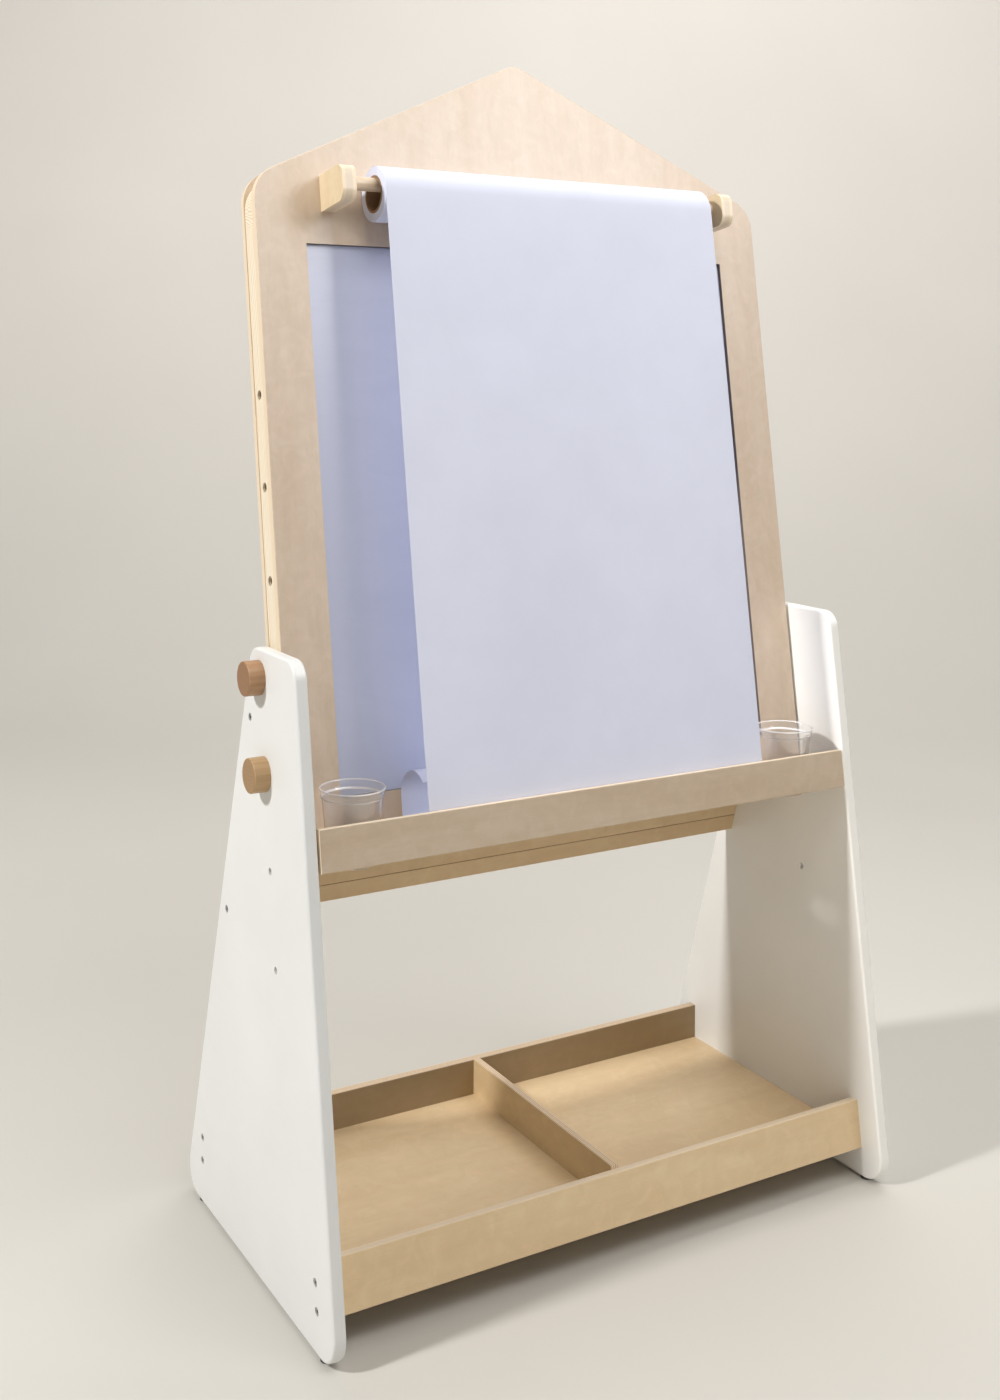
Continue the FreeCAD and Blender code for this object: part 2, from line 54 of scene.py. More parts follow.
camera = bpy.data.objects.new("camera", bpy.data.cameras.new("camera"))
scene.collection.objects.link(camera)
scene.camera = camera
forward = Vector(
    (
        math.sin(CAM_YAW) * math.cos(CAM_PITCH),
        math.cos(CAM_YAW) * math.cos(CAM_PITCH),
        math.sin(CAM_PITCH),
    )
)
level_right = forward.cross(Vector((0, 0, 1))).normalized()
level_up = level_right.cross(forward)
right = level_right * math.cos(CAM_ROLL) + level_up * math.sin(CAM_ROLL)
up = right.cross(forward)
camera.matrix_world = Matrix(
    (
        (right.x, up.x, -forward.x, CAM_PLACE.x),
        (right.y, up.y, -forward.y, CAM_PLACE.y),
        (right.z, up.z, -forward.z, CAM_PLACE.z),
        (0, 0, 0, 1),
    )
)
camera.data.sensor_width = 36.0
camera.data.lens = 40.47
camera.data.shift_y = -0.20
camera.data.clip_start = 0.05
camera.data.clip_end = 50.0

# ---- the lean of the board, in the frame's metres -----------------------------------------------------
LEAN = math.radians(9.2)
FRONT_Y = -0.21724


def leaned(x, d, s):
    """A point given across the board (x), behind the front edges (d) and up the lean (s)."""
    return Vector(
        (
            x,
            FRONT_Y + s * math.sin(LEAN) + d * math.cos(LEAN),
            s * math.cos(LEAN) - d * math.sin(LEAN),
        )
    )


BOARD_UP = Vector((0, math.sin(LEAN), math.cos(LEAN)))
BOARD_OUT = Vector((0, -math.cos(LEAN), math.sin(LEAN)))


# ---- node-tree helpers ---------------------------------------------------------------------------------
class Tree:
    """Builds one material's node tree in short calls."""

    def __init__(self, name):
        self.material = bpy.data.materials.new(name)
        self.material.use_nodes = True
        self.nodes = self.material.node_tree.nodes
        self.links = self.material.node_tree.links
        self.shader = self.nodes["Principled BSDF"]
        self.coords = self.nodes.new("ShaderNodeTexCoord")
        self.bumps = None

    def new(self, kind, **settings):
        node = self.nodes.new(kind)
        for key, value in settings.items():
            setattr(node, key, value)
        return node

    def feed(self, socket, value):
        """Links an output to a socket, or sets the socket to a plain value."""
        if isinstance(value, bpy.types.NodeSocket):
            self.links.new(value, socket)
        else:
            socket.default_value = value

    def math(self, operation, a, b=0.0, clamp=False):
        node = self.new("ShaderNodeMath", operation=operation, use_clamp=clamp)
        self.feed(node.inputs[0], a)
        self.feed(node.inputs[1], b)
        return node.outputs[0]

    def along(self, direction, what="Object"):
        """The coordinate (or the normal's part) along a direction."""
        node = self.new("ShaderNodeVectorMath", operation="DOT_PRODUCT")
        self.feed(node.inputs[0], self.coords.outputs[what])
        node.inputs[1].default_value = direction
        return node.outputs["Value"]

    def point(self, x, y, z):
        node = self.new("ShaderNodeCombineXYZ")
        for socket, value in zip(node.inputs, (x, y, z)):
            self.feed(socket, value)
        return node.outputs[0]

    def place(self, axes, scales):
        """Coordinates along three directions, each multiplied by its own scale."""
        parts = [self.math("MULTIPLY", self.along(a), s) for a, s in zip(axes, scales)]
        return self.point(*parts)

    def noise(self, vector, scale=1.0, detail=3.0, rough=0.55, distortion=0.0):
        node = self.new("ShaderNodeTexNoise")
        self.feed(node.inputs["Vector"], vector)
        node.inputs["Scale"].default_value = scale
        node.inputs["Detail"].default_value = detail
        node.inputs["Roughness"].default_value = rough
        node.inputs["Distortion"].default_value = distortion
        return node.outputs["Fac"]

    def cells(self, vector, scale=1.0):
        node = self.new("ShaderNodeTexVoronoi")
        self.feed(node.inputs["Vector"], vector)
        node.inputs["Scale"].default_value = scale
        return node.outputs["Distance"]

    def spread(self, value, low, high, out_low=0.0, out_high=1.0):
        node = self.new("ShaderNodeMapRange")
        self.feed(node.inputs["Value"], value)
        node.inputs["From Min"].default_value = low
        node.inputs["From Max"].default_value = high
        node.inputs["To Min"].default_value = out_low
        node.inputs["To Max"].default_value = out_high
        return node.outputs["Result"]

    def mix(self, factor, a, b, blend="MIX"):
        node = self.new("ShaderNodeMix", data_type="RGBA", blend_type=blend)
        self.feed(node.inputs[0], factor)
        self.feed(node.inputs[6], (*a, 1.0) if isinstance(a, tuple) else a)
        self.feed(node.inputs[7], (*b, 1.0) if isinstance(b, tuple) else b)
        return node.outputs[2]

    def bump(self, height, distance, strength=0.4):
        node = self.new("ShaderNodeBump")
        node.inputs["Strength"].default_value = strength
        node.inputs["Distance"].default_value = distance
        self.feed(node.inputs["Height"], height)
        if self.bumps is not None:
            self.links.new(self.bumps, node.inputs["Normal"])
        self.bumps = node.outputs["Normal"]

    def finish(self, colour, roughness, **sockets):
        self.feed(self.shader.inputs["Base Color"], colour)
        self.feed(self.shader.inputs["Roughness"], roughness)
        if self.bumps is not None:
            self.links.new(self.bumps, self.shader.inputs["Normal"])
        for name, value in sockets.items():
            self.shader.inputs[name.replace("_", " ")].default_value = value
        return self.material


def shade(node, material):
    """Gives a CAD node its material."""
    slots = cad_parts[node].material_slots
    for one in slots:
        one.material = material


# ---- materials ------------------------------------------------------------------------------------------
X, Y, Z = Vector((1, 0, 0)), Vector((0, 1, 0)), Vector((0, 0, 1))


def lacquer():
    """White satin lacquer: faint orange peel, faint cloudiness, a little handling wear."""
    t = Tree("white_lacquer")
    place = t.coords.outputs["Object"]
    cloud = t.noise(place, 6.0, 4.0)
    peel = t.noise(place, 900.0, 2.0)
    stretched = t.point(t.math("MULTIPLY", t.along(X), 60), t.along(Y), t.math("MULTIPLY", t.along(Z), 9))
    scuffs = t.noise(stretched, 9.0, 5.0, 0.7)
    colour = t.mix(t.spread(cloud, 0.35, 0.7), (0.83, 0.835, 0.82), (0.79, 0.795, 0.785))
    rough = t.spread(scuffs, 0.3, 0.75, 0.34, 0.5)
    t.bump(peel, 0.0004, 0.12)
    return t.finish(colour, rough, Specular_IOR_Level=0.45)


PLY = 0.0014
PALE_EDGE = 1.1
WINDOW_HALF, WINDOW_TOP = 0.30, 1.14


def birch(name, thin, grain, middle, thickness, tint, edge_tint, seed, layers=None, window=False):
    """Birch plywood: cream veneer with long grain and short flecks on its faces, stacked plies on its edges.

    thin is the direction through the plies, grain the face grain's, middle the board's middle along thin.
    tint colours the faces and edge_tint the edges; layers overrides the number of plies, and window paints
    shade on the edges within the board's window, darkening them near black-brown.
    """

    def tinted(red, green, blue):
        return (red * tint[0], green * tint[1], blue * tint[2])

    if edge_tint < PALE_EDGE:
        glue = tuple(edge_tint * c for c in (0.50, 0.33, 0.19))
    else:
        glue = (0.76, 0.63, 0.47)
    t = Tree(name)
    across = thin.cross(grain)
    through = t.math("SUBTRACT", t.along(thin), middle)
    axes = (grain, across, thin)
    broad = t.noise(t.place(axes, (2.2, 16.0, 16.0)), 1.0 + seed * 0.07, 4.0, 0.55, 0.6)
    figure = t.noise(t.place(axes, (7.0, 70.0, 70.0)), 1.0 + seed * 0.05, 5.0, 0.62, 1.2)
    fine = t.noise(t.place(axes, (22.0, 900.0, 900.0)), 1.0, 3.0, 0.7)
    ripple = t.noise(t.place(axes, (38.0, 30.0, 30.0)), 1.0 + seed * 0.03, 2.0, 0.5, 1.3)
    flecks = t.cells(t.place(axes, (90.0, 650.0, 650.0)))

    pale = tinted(0.74, 0.615, 0.455)
    warm = tinted(0.655, 0.51, 0.345)
    brown = tinted(0.50, 0.355, 0.22)
    face = t.mix(t.spread(broad, 0.3, 0.72), pale, warm)
    face = t.mix(t.spread(figure, 0.5, 0.78, 0.0, 0.32), face, warm)
    blotch = t.noise(t.place(axes, (26.0, 42.0, 42.0)), 1.0 + seed * 0.04, 2.0, 0.45, 0.8)
    face = t.mix(t.spread(blotch, 0.38, 0.68, 0.0, 0.35), face, warm)
    patch = t.noise(t.place(axes, (17.0, 33.0, 33.0)), 1.3 + seed * 0.04, 3.0, 0.5, 1.6)
    face = t.mix(t.spread(patch, 0.55, 0.72, 0.0, 0.30), face, tinted(0.78, 0.585, 0.42))
    face = t.mix(t.spread(patch, 0.45, 0.28, 0.0, 0.28), face, tinted(0.60, 0.50, 0.33))
    face = t.mix(t.spread(ripple, 0.45, 0.75, 0.0, 0.24), face, tinted(0.84, 0.72, 0.56))
    face = t.mix(t.spread(fine, 0.55, 0.8, 0.0, 0.20), face, brown)
    face = t.mix(t.spread(flecks, 0.16, 0.05, 0.0, 0.35), face, brown)

    count = layers or max(3, 2 * round(thickness / PLY / 2) + 1)
    layer = t.math("MULTIPLY", t.math("ADD", through, thickness / 2), count / thickness)
    wave = t.math("PINGPONG", layer, 1.0)
    wobble = t.noise(t.place(axes, (60.0, 60.0, 1500.0)), 1.0, 3.0)
    bands = t.math("ADD", wave, t.math("MULTIPLY", t.math("SUBTRACT", wobble, 0.5), 0.35))
    edge = t.mix(t.spread(bands, 0.42, 0.58), tuple(edge_tint * c for c in (0.78, 0.64, 0.46)), glue)
    pores = t.noise(t.place(axes, (400.0, 400.0, 900.0)), 1.0, 4.0, 0.7)
    edge = t.mix(t.spread(pores, 0.55, 0.75, 0.0, 0.35), edge, brown)

    # painted shade: the edges within the board's window turn near black-brown, standing for the shadow in the
    # window's recess
    if window:
        painted_window_shade = t.math("LESS_THAN", t.math("ABSOLUTE", t.along(X)), WINDOW_HALF)
        painted_window_shade = t.math("MULTIPLY", painted_window_shade, t.math("LESS_THAN", t.along(BOARD_UP), WINDOW_TOP))
        edge = t.mix(painted_window_shade, edge, (0.15, 0.11, 0.09))
    facing = t.math("ABSOLUTE", t.along(thin, "Normal"))
    colour = t.mix(t.spread(facing, 0.55, 0.75), edge, face)
    t.bump(fine, 0.0003, 0.25)
    t.bump(figure, 0.0006, 0.15)
    rough = t.spread(fine, 0.3, 0.8, 0.45, 0.6)
    return t.finish(colour, rough, Specular_IOR_Level=0.4, Coat_Weight=0.35, Coat_Roughness=0.38)


def pine(name, grain, seed):
    """Pine: straight growth rings along the grain, paler early wood and soft cloudiness."""
    t = Tree(name)
    side = Vector((0, math.cos(LEAN), -math.sin(LEAN))) if abs(grain.x) < 0.5 else BOARD_UP
    axes = (grain, side, grain.cross(side))
    bend = t.noise(t.place(axes, (2.5, 20.0, 20.0)), 1.0 + seed * 0.1, 2.0)
    ring = t.math("ADD", t.math("MULTIPLY", t.along(side), 330.0), t.math("MULTIPLY", bend, 9.0))
    ring = t.math("ADD", ring, t.math("MULTIPLY", t.along(axes[2]), 120.0))
    late = t.math("FRACT", ring)
    colour = t.mix(t.spread(late, 0.35, 0.95), (0.90, 0.82, 0.66), (0.72, 0.55, 0.36))
    fibre = t.noise(t.place(axes, (25.0, 1400.0, 1400.0)), 1.0, 3.0, 0.7)
    colour = t.mix(t.spread(fibre, 0.5, 0.8, 0.0, 0.3), colour, (0.52, 0.36, 0.21))
    cloud = t.noise(t.place(axes, (4.0, 30.0, 30.0)), 1.0, 3.0)
    colour = t.mix(t.spread(cloud, 0.4, 0.75, 0.0, 0.35), colour, (0.93, 0.86, 0.72))
    t.bump(fibre, 0.0004, 0.3)
    t.bump(late, 0.0003, 0.2)
    return t.finish(colour, t.spread(fibre, 0.3, 0.8, 0.5, 0.68), Specular_IOR_Level=0.35)


def turned(name, dark, pale):
    """Turned hardwood with its grain along X; end grain with rings and pores on the flat ends."""
    t = Tree(name)
    axes = (X, Y, Z)
    streak = t.noise(t.place(axes, (9.0, 260.0, 260.0)), 1.0, 4.0, 0.6)
    pores = t.cells(t.place(axes, (120.0, 1500.0, 1500.0)))
    colour = t.mix(t.spread(streak, 0.35, 0.7), pale, dark)
    colour = t.mix(t.spread(pores, 0.2, 0.06, 0.0, 0.45), colour, tuple(0.55 * c for c in dark))
    across_end = t.math("MULTIPLY", t.along((0, 0.35, 0.94)), 420.0)
    ring = t.math("FRACT", t.math("ADD", across_end, t.math("MULTIPLY", streak, 3.0)))
    end = t.mix(t.spread(ring, 0.3, 0.95), tuple(0.9 * c for c in dark), tuple(0.68 * c for c in dark))
    end_pores = t.noise(t.place(axes, (600.0, 2200.0, 2200.0)), 1.0, 2.0)
    end = t.mix(t.spread(end_pores, 0.5, 0.75, 0.0, 0.4), end, tuple(0.45 * c for c in dark))
    facing = t.math("ABSOLUTE", t.along(X, "Normal"))
    colour = t.mix(t.spread(facing, 0.75, 0.9), colour, end)
    t.bump(streak, 0.0004, 0.25)
    return t.finish(colour, t.spread(streak, 0.3, 0.8, 0.4, 0.56), Specular_IOR_Level=0.4)


def writing_board():
    """Whiteboard: smooth satin coat with a faint cloud of wiped marker dust."""
    t = Tree("whiteboard_coat")
    place = t.place((X, BOARD_OUT, BOARD_UP), (1.0, 1.0, 1.0))
    wipes = t.noise(t.place((X, BOARD_OUT, BOARD_UP), (3.0, 1.0, 10.0)), 2.0, 5.0, 0.65, 1.0)
    dust = t.noise(place, 700.0, 2.0)
    colour = t.mix(t.spread(wipes, 0.4, 0.75), (0.60, 0.63, 0.79), (0.565, 0.60, 0.76))
    t.bump(dust, 0.0002, 0.06)
    return t.finish(colour, t.spread(wipes, 0.35, 0.75, 0.28, 0.4), Coat_Weight=0.25, Coat_Roughness=0.2)


def slate():
    """Chalkboard: matt near-black coat, wiped chalk clouds and fine tooth."""
    t = Tree("chalkboard_coat")
    swipe = t.noise(t.place((X, BOARD_OUT, BOARD_UP), (2.4, 1.0, 7.0)), 1.6, 6.0, 0.65, 1.4)
    tooth = t.noise(t.coords.outputs["Object"], 1500.0, 2.0)
    colour = t.mix(t.spread(swipe, 0.42, 0.78), (0.022, 0.027, 0.026), (0.075, 0.08, 0.078))
    colour = t.mix(t.spread(tooth, 0.6, 0.8, 0.0, 0.2), colour, (0.14, 0.145, 0.14))
    t.bump(tooth, 0.0003, 0.3)
    return t.finish(colour, t.spread(swipe, 0.4, 0.8, 0.72, 0.9), Specular_IOR_Level=0.3)


def drawing_paper():
    """Plain paper: fine fibres and slight cloudiness."""
    t = Tree("drawing_paper")
    tone = (0.77, 0.80, 0.95)
    place = t.coords.outputs["Object"]
    fibres = t.noise(place, 1300.0, 3.0, 0.7)
    cloud = t.noise(place, 14.0, 4.0)
    dim = tuple(0.965 * c for c in tone)
    colour = t.mix(t.spread(cloud, 0.35, 0.7), tone, dim)
    colour = t.mix(t.spread(fibres, 0.6, 0.8, 0.0, 0.12), colour, tuple(0.9 * c for c in tone))
    t.bump(fibres, 0.0001, 0.15)
    return t.finish(
        colour,
        t.spread(fibres, 0.3, 0.8, 0.78, 0.9),
        Specular_IOR_Level=0.25,
    )


def wound_board():
    """Brown paper tube: a spiral seam and a soft fibrous face."""
    t = Tree("core_board")
    turn = t.new("ShaderNodeMath", operation="ARCTAN2")
    t.feed(turn.inputs[0], t.math("SUBTRACT", t.along(Z), ROLL_AXIS.z))
    t.feed(turn.inputs[1], t.math("SUBTRACT", t.along(Y), ROLL_AXIS.y))
    around = t.math("DIVIDE", turn.outputs[0], 2 * math.pi)
    seam = t.math("FRACT", t.math("ADD", t.math("MULTIPLY", t.along(X), 11.0), around))
    fibres = t.noise(t.coords.outputs["Object"], 500.0, 4.0, 0.7)
    colour = t.mix(t.spread(fibres, 0.3, 0.75), (0.34, 0.21, 0.12), (0.24, 0.145, 0.085))
    colour = t.mix(t.spread(seam, 0.03, 0.0), colour, (0.12, 0.07, 0.04))
    t.bump(fibres, 0.0004, 0.4)
    return t.finish(colour, t.spread(fibres, 0.3, 0.8, 0.75, 0.92), Specular_IOR_Level=0.2)


def metal(name, tone, rough):
    """Plated or turned metal with fine turning lines and slight dulling."""
    t = Tree(name)
    lines = t.noise(t.place((X, Y, Z), (300.0, 300.0, 300.0)), 4.0, 3.0)
    dull = t.noise(t.coords.outputs["Object"], 160.0, 3.0)
    colour = t.mix(t.spread(dull, 0.35, 0.75), tone, tuple(0.75 * c for c in tone))
    t.bump(lines, 0.0001, 0.15)
    return t.finish(colour, t.spread(lines, 0.3, 0.7, rough, rough + 0.15), Metallic=1.0)


def dark_plastic():
    t = Tree("glide_plastic")
    grain = t.noise(t.coords.outputs["Object"], 1200.0, 2.0)
    colour = t.mix(t.spread(grain, 0.3, 0.8), (0.045, 0.043, 0.04), (0.08, 0.075, 0.07))
    t.bump(grain, 0.0003, 0.3)
    return t.finish(colour, t.spread(grain, 0.3, 0.8, 0.5, 0.68))


def hardboard():
    t = Tree("hardboard")
    grain = t.noise(t.coords.outputs["Object"], 700.0, 4.0, 0.7)
    colour = t.mix(t.spread(grain, 0.3, 0.75), (0.22, 0.13, 0.075), (0.15, 0.09, 0.05))
    t.bump(grain, 0.0003, 0.3)
    return t.finish(colour, t.spread(grain, 0.3, 0.8, 0.6, 0.8))


def clear_plastic():
    """Clear moulded plastic with faint flow ripples and slight handling haze."""
    t = Tree("clear_plastic")
    place = t.coords.outputs["Object"]
    flow = t.noise(t.place((X, Y, Z), (60.0, 60.0, 18.0)), 1.0, 2.0)
    haze = t.noise(place, 40.0, 3.0)
    t.bump(flow, 0.0006, 0.1)
    colour = t.mix(t.spread(haze, 0.3, 0.8), (0.99, 0.985, 0.98), (0.95, 0.945, 0.94))
    rough = t.spread(haze, 0.35, 0.8, 0.02, 0.06)
    return t.finish(colour, rough, Transmission_Weight=0.94, IOR=1.05, Coat_Weight=1.0, Coat_Roughness=0.05)


def plastic_rim():
    """The thicker rims of the clear cups, milky where the light gathers in them."""
    t = Tree("clear_plastic_rim")
    haze = t.noise(t.coords.outputs["Object"], 300.0, 3.0)
    colour = t.mix(t.spread(haze, 0.3, 0.8), (0.96, 0.93, 0.92), (0.90, 0.87, 0.86))
    rough = t.spread(haze, 0.3, 0.8, 0.18, 0.3)
    return t.finish(colour, rough, Transmission_Weight=0.25, IOR=1.2, Coat_Weight=0.8, Coat_Roughness=0.1)


ROLL_AXIS = (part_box("paper_roll")[0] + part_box("paper_roll")[1]) / 2

white = lacquer()
for node in ("left_side_panel", "right_side_panel"):
    shade(node, white)
shade("foot_glides", dark_plastic())

LEAN_IN = -BOARD_OUT
REAR_FOOT_Y, REAR_TOP_Y, PANEL_HEIGHT = 0.22276, 0.01426, 0.693
REAR_TILT = math.atan2(REAR_FOOT_Y - REAR_TOP_Y, PANEL_HEIGHT)
REAR_IN = Vector((0, math.cos(REAR_TILT), math.sin(REAR_TILT)))


def middle_along(node, direction):
    """The middle of a flat node along the direction through it, from its vertices."""
    reach = [v.co.dot(direction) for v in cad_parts[node].data.vertices]
    return (min(reach) + max(reach)) / 2


# a golden tint on the lower pieces: painted warm light, as if bounced between the wooden parts
PAINTED_WARM_BOUNCE = (1.07, 1.01, 0.86)
ROSY = (0.965, 0.95, 1.0)
# node: direction through it, grain, thickness, tint, edge tint, seed, and sometimes layers and window
PLIES = {
    "shelf_floor": (Z, X, 0.009, PAINTED_WARM_BOUNCE, 1.0, 1.0),
    # the shelf's front rail: its brighter golden tint is painted warm bounce light
    "shelf_front_rail": (LEAN_IN, X, 0.012, (1.14, 1.07, 0.90), 1.2, 2.0),
    # the shelf's rear rail: its dark tint, about half as bright as the other birch, is painted shade
    "shelf_rear_rail": (Y, X, 0.012, (0.50, 0.45, 0.35), 1.0, 3.0),
    # the divider: its golden tint is painted warm bounce light
    "shelf_divider": (X, Y, 0.009, (0.99, 0.93, 0.76), 1.0, 4.0),
    "rear_lower_rail": (REAR_IN, X, 0.012, PAINTED_WARM_BOUNCE, 1.0, 5.0),
    "rear_upper_rail": (REAR_IN, X, 0.012, PAINTED_WARM_BOUNCE, 1.0, 6.0),
    "rear_panel": (REAR_IN, X, 0.009, PAINTED_WARM_BOUNCE, 1.0, 7.0),
    "board_front_frame": (LEAN_IN, BOARD_UP, 0.009, ROSY, 1.15, 8.0, None, True),
    "board_back_frame": (LEAN_IN, BOARD_UP, 0.009, ROSY, 1.15, 9.0, None, True),
    "tray_front_rail": (LEAN_IN, X, 0.009, (0.83, 0.81, 0.82), 1.25, 10.0),
    "tray_floor": (Z, X, 0.009, PAINTED_WARM_BOUNCE, 1.0, 11.0),
    "roll_holder_left": (X, BOARD_UP, 0.017, (1.04, 1.04, 0.96), 1.12, 12.0, 2),
    "roll_holder_right": (X, BOARD_UP, 0.017, (1.04, 1.04, 0.96), 1.12, 13.0, 2),
}
for node, (thin, grain, *rest) in PLIES.items():
    shade(node, birch("birch_" + node, thin, grain, middle_along(node, thin), *rest))

for node, grain, seed in (
    ("core_stile_left", BOARD_UP, 1.0),
    ("core_stile_right", BOARD_UP, 2.0),
    ("core_bottom_rail", X, 3.0),
    ("core_gable", X, 4.0),
):
    shade(node, pine("pine_" + node, grain, seed))

for level, dark, pale in (
    ("upper", (0.37, 0.20, 0.10), (0.47, 0.28, 0.15)),
    ("lower", (0.44, 0.27, 0.13), (0.54, 0.36, 0.19)),
):
    beech = turned("beech_knob_" + level, dark, pale)
    shade("knob_left_" + level, beech)
    shade("knob_right_" + level, beech)
shade("roll_dowel", turned("beech_dowel", (0.74, 0.56, 0.38), (0.86, 0.72, 0.55)))

steel = metal("zinc_plate", (0.55, 0.55, 0.56), 0.32)
for node in ("shelf_screws", "rear_rail_screws", "tray_screws", "holder_screws"):
    shade(node, steel)
for node in ("stud_left_upper", "stud_left_lower", "stud_right_upper", "stud_right_lower"):
    shade(node, steel)
brass = metal("insert_brass", (0.36, 0.24, 0.11), 0.38)
shade("inserts_left", brass)
shade("inserts_right", brass)
shade("whiteboard", writing_board())
shade("whiteboard_backing", hardboard())
shade("chalkboard", slate())
shade("roll_core", wound_board())


# ---- pieces made here -----------------------------------------------------------------------------------
def add_piece(name, mesh, material, body):
    piece = bpy.data.objects.new(name, mesh)
    scene.collection.objects.link(piece)
    mesh.materials.append(material)
    for polygon in mesh.polygons:
        polygon.use_smooth = True
    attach(piece, body)
    return piece


TURNED_STEPS = 96


def turned_mesh(name, profile, centre, axis):
    """A closed loop of (radius, height) points turned about an axis, X or Z, through centre."""
    bm = bmesh.new()
    rings = []
    for radius, height in profile:
        ring = []
        for i in range(TURNED_STEPS):
            angle = 2 * math.pi * i / TURNED_STEPS
            a, b = radius * math.cos(angle), radius * math.sin(angle)
            place = (a, b, height) if axis == "Z" else (height, a, b)
            ring.append(bm.verts.new(Vector(place) + centre))
        rings.append(ring)
    for low, high in zip(rings, rings[1:] + rings[:1]):
        for i in range(TURNED_STEPS):
            j = (i + 1) % TURNED_STEPS
            bm.faces.new((low[i], low[j], high[j], high[i]))
    bmesh.ops.recalc_face_normals(bm, faces=bm.faces)
    mesh = bpy.data.meshes.new(name)
    bm.to_mesh(mesh)
    bm.free()
    return mesh


# paper: one sheet off the front of the roll, down into the tray, and curled back up behind
PAPER_X = (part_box("paper_sheet")[0].x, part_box("paper_sheet")[1].x)
PAPER_T = 0.0003
ROLL_R = 0.0315  # the wound paper
CROWN_R = 0.0319  # the sheet where it passes over the roll
ROLL_D = (ROLL_AXIS.y - FRONT_Y) * math.cos(LEAN) - ROLL_AXIS.z * math.sin(LEAN)
ROLL_S = (ROLL_AXIS.y - FRONT_Y) * math.sin(LEAN) + ROLL_AXIS.z * math.cos(LEAN)
LOW = 0.516  # the sheet's lowest line, on the tray
FRONT_D = 0.0082  # its depth at the front
BACK_D = 0.0736  # and behind, where it turns up
TURN_R = 0.008  # its bends in the tray
TOP = 0.5725  # the crown of the curl
LOOP_END = 142.0  # degrees that the curl turns through
HANG_STEPS = 44
COLUMNS = 60
EDGE_COLUMN = 0.0006  # a narrow first and last column, as parts of the width


def paper_path():
    """Points (d, s) down the middle of the paper, from the roll's crown to the free end."""
    path = []
    for i in range(9):
        angle = math.radians(90 + 90 * i / 8)
        path.append((ROLL_D + CROWN_R * math.cos(angle), ROLL_S + CROWN_R * math.sin(angle)))
    start = path[-1]
    fold = LOW + TURN_R
    for i in range(1, HANG_STEPS + 1):
        f = i / HANG_STEPS
        d = start[0] + (FRONT_D - start[0]) * f
        path.append((d, start[1] + (fold - start[1]) * f))
    for i in range(1, 9):
        angle = math.radians(180 + 90 * i / 8)
        path.append((FRONT_D + TURN_R + TURN_R * math.cos(angle), fold + TURN_R * math.sin(angle)))
    for i in range(1, 7):
        f = i / 6
        path.append((FRONT_D + TURN_R + (BACK_D - FRONT_D - 2 * TURN_R) * f, LOW))
    for i in range(1, 9):
        angle = math.radians(270 + 90 * i / 8)
        path.append((BACK_D - TURN_R + TURN_R * math.cos(angle), fold + TURN_R * math.sin(angle)))
    arch_r = (BACK_D - FRONT_D - 0.004) / 2
    arch_s = TOP - arch_r
    for i in range(1, 4):
        path.append((BACK_D, fold + (arch_s - fold) * i / 3))
    for i in range(1, 21):
        angle = math.radians(LOOP_END * i / 20)
        path.append((BACK_D - arch_r + arch_r * math.cos(angle), arch_s + arch_r * math.sin(angle)))
    return path


def paper_mesh():
    """The sheet's middle surface, with faint waves where it hangs free, and its length along the path."""
    path = paper_path()
    inner = [i / COLUMNS for i in range(1, COLUMNS)]
    steps = [0.0, EDGE_COLUMN] + inner + [1 - EDGE_COLUMN, 1.0]
    last = path[-1]
    near = path[-2]
    path[-1:] = [(last[0] + (near[0] - last[0]) * 0.06, last[1] + (near[1] - last[1]) * 0.06), last]
    run = [0.0]
    for a, b in zip(path, path[1:]):
        run.append(run[-1] + math.dist(a, b))
    bm = bmesh.new()
    rows = []
    for k, (d, s) in enumerate(path):
        before = path[max(k - 1, 0)]
        after = path[min(k + 1, len(path) - 1)]
        along = Vector((after[0] - before[0], after[1] - before[1])).normalized()
        out = Vector((along.y, -along.x))
        free = min(1.0, max(0.0, (run[k] - 0.06) / 0.15)) * min(1.0, max(0.0, (0.80 - run[k]) / 0.12))
        row = []
        for f in steps:
            x = PAPER_X[0] + (PAPER_X[1] - PAPER_X[0]) * f
            broad = 0.0006 * math.sin(3.1 * math.pi * f + 5.0 * run[k])
            small = 0.0005 * math.sin(9.0 * f - 7.0 * run[k])
            lift = free * (broad + small)
            row.append(bm.verts.new(leaned(x, d - out.x * lift, s - out.y * lift)))
        rows.append(row)
    for low, high in zip(rows, rows[1:]):
        for i in range(len(steps) - 1):
            bm.faces.new((low[i], low[i + 1], high[i + 1], high[i]))
    bmesh.ops.recalc_face_normals(bm, faces=bm.faces)
    mesh = bpy.data.meshes.new("paper_hanging")
    bm.to_mesh(mesh)
    bm.free()
    return mesh, run[-1]


paper = drawing_paper()
paper_data, paper_length = paper_mesh()
hanging = add_piece("paper_hanging", paper_data, paper, "board")
thick = hanging.modifiers.new("thickness", "SOLIDIFY")
thick.thickness = PAPER_T
thick.offset = 0.0
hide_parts("paper_sheet", "paper_loop")

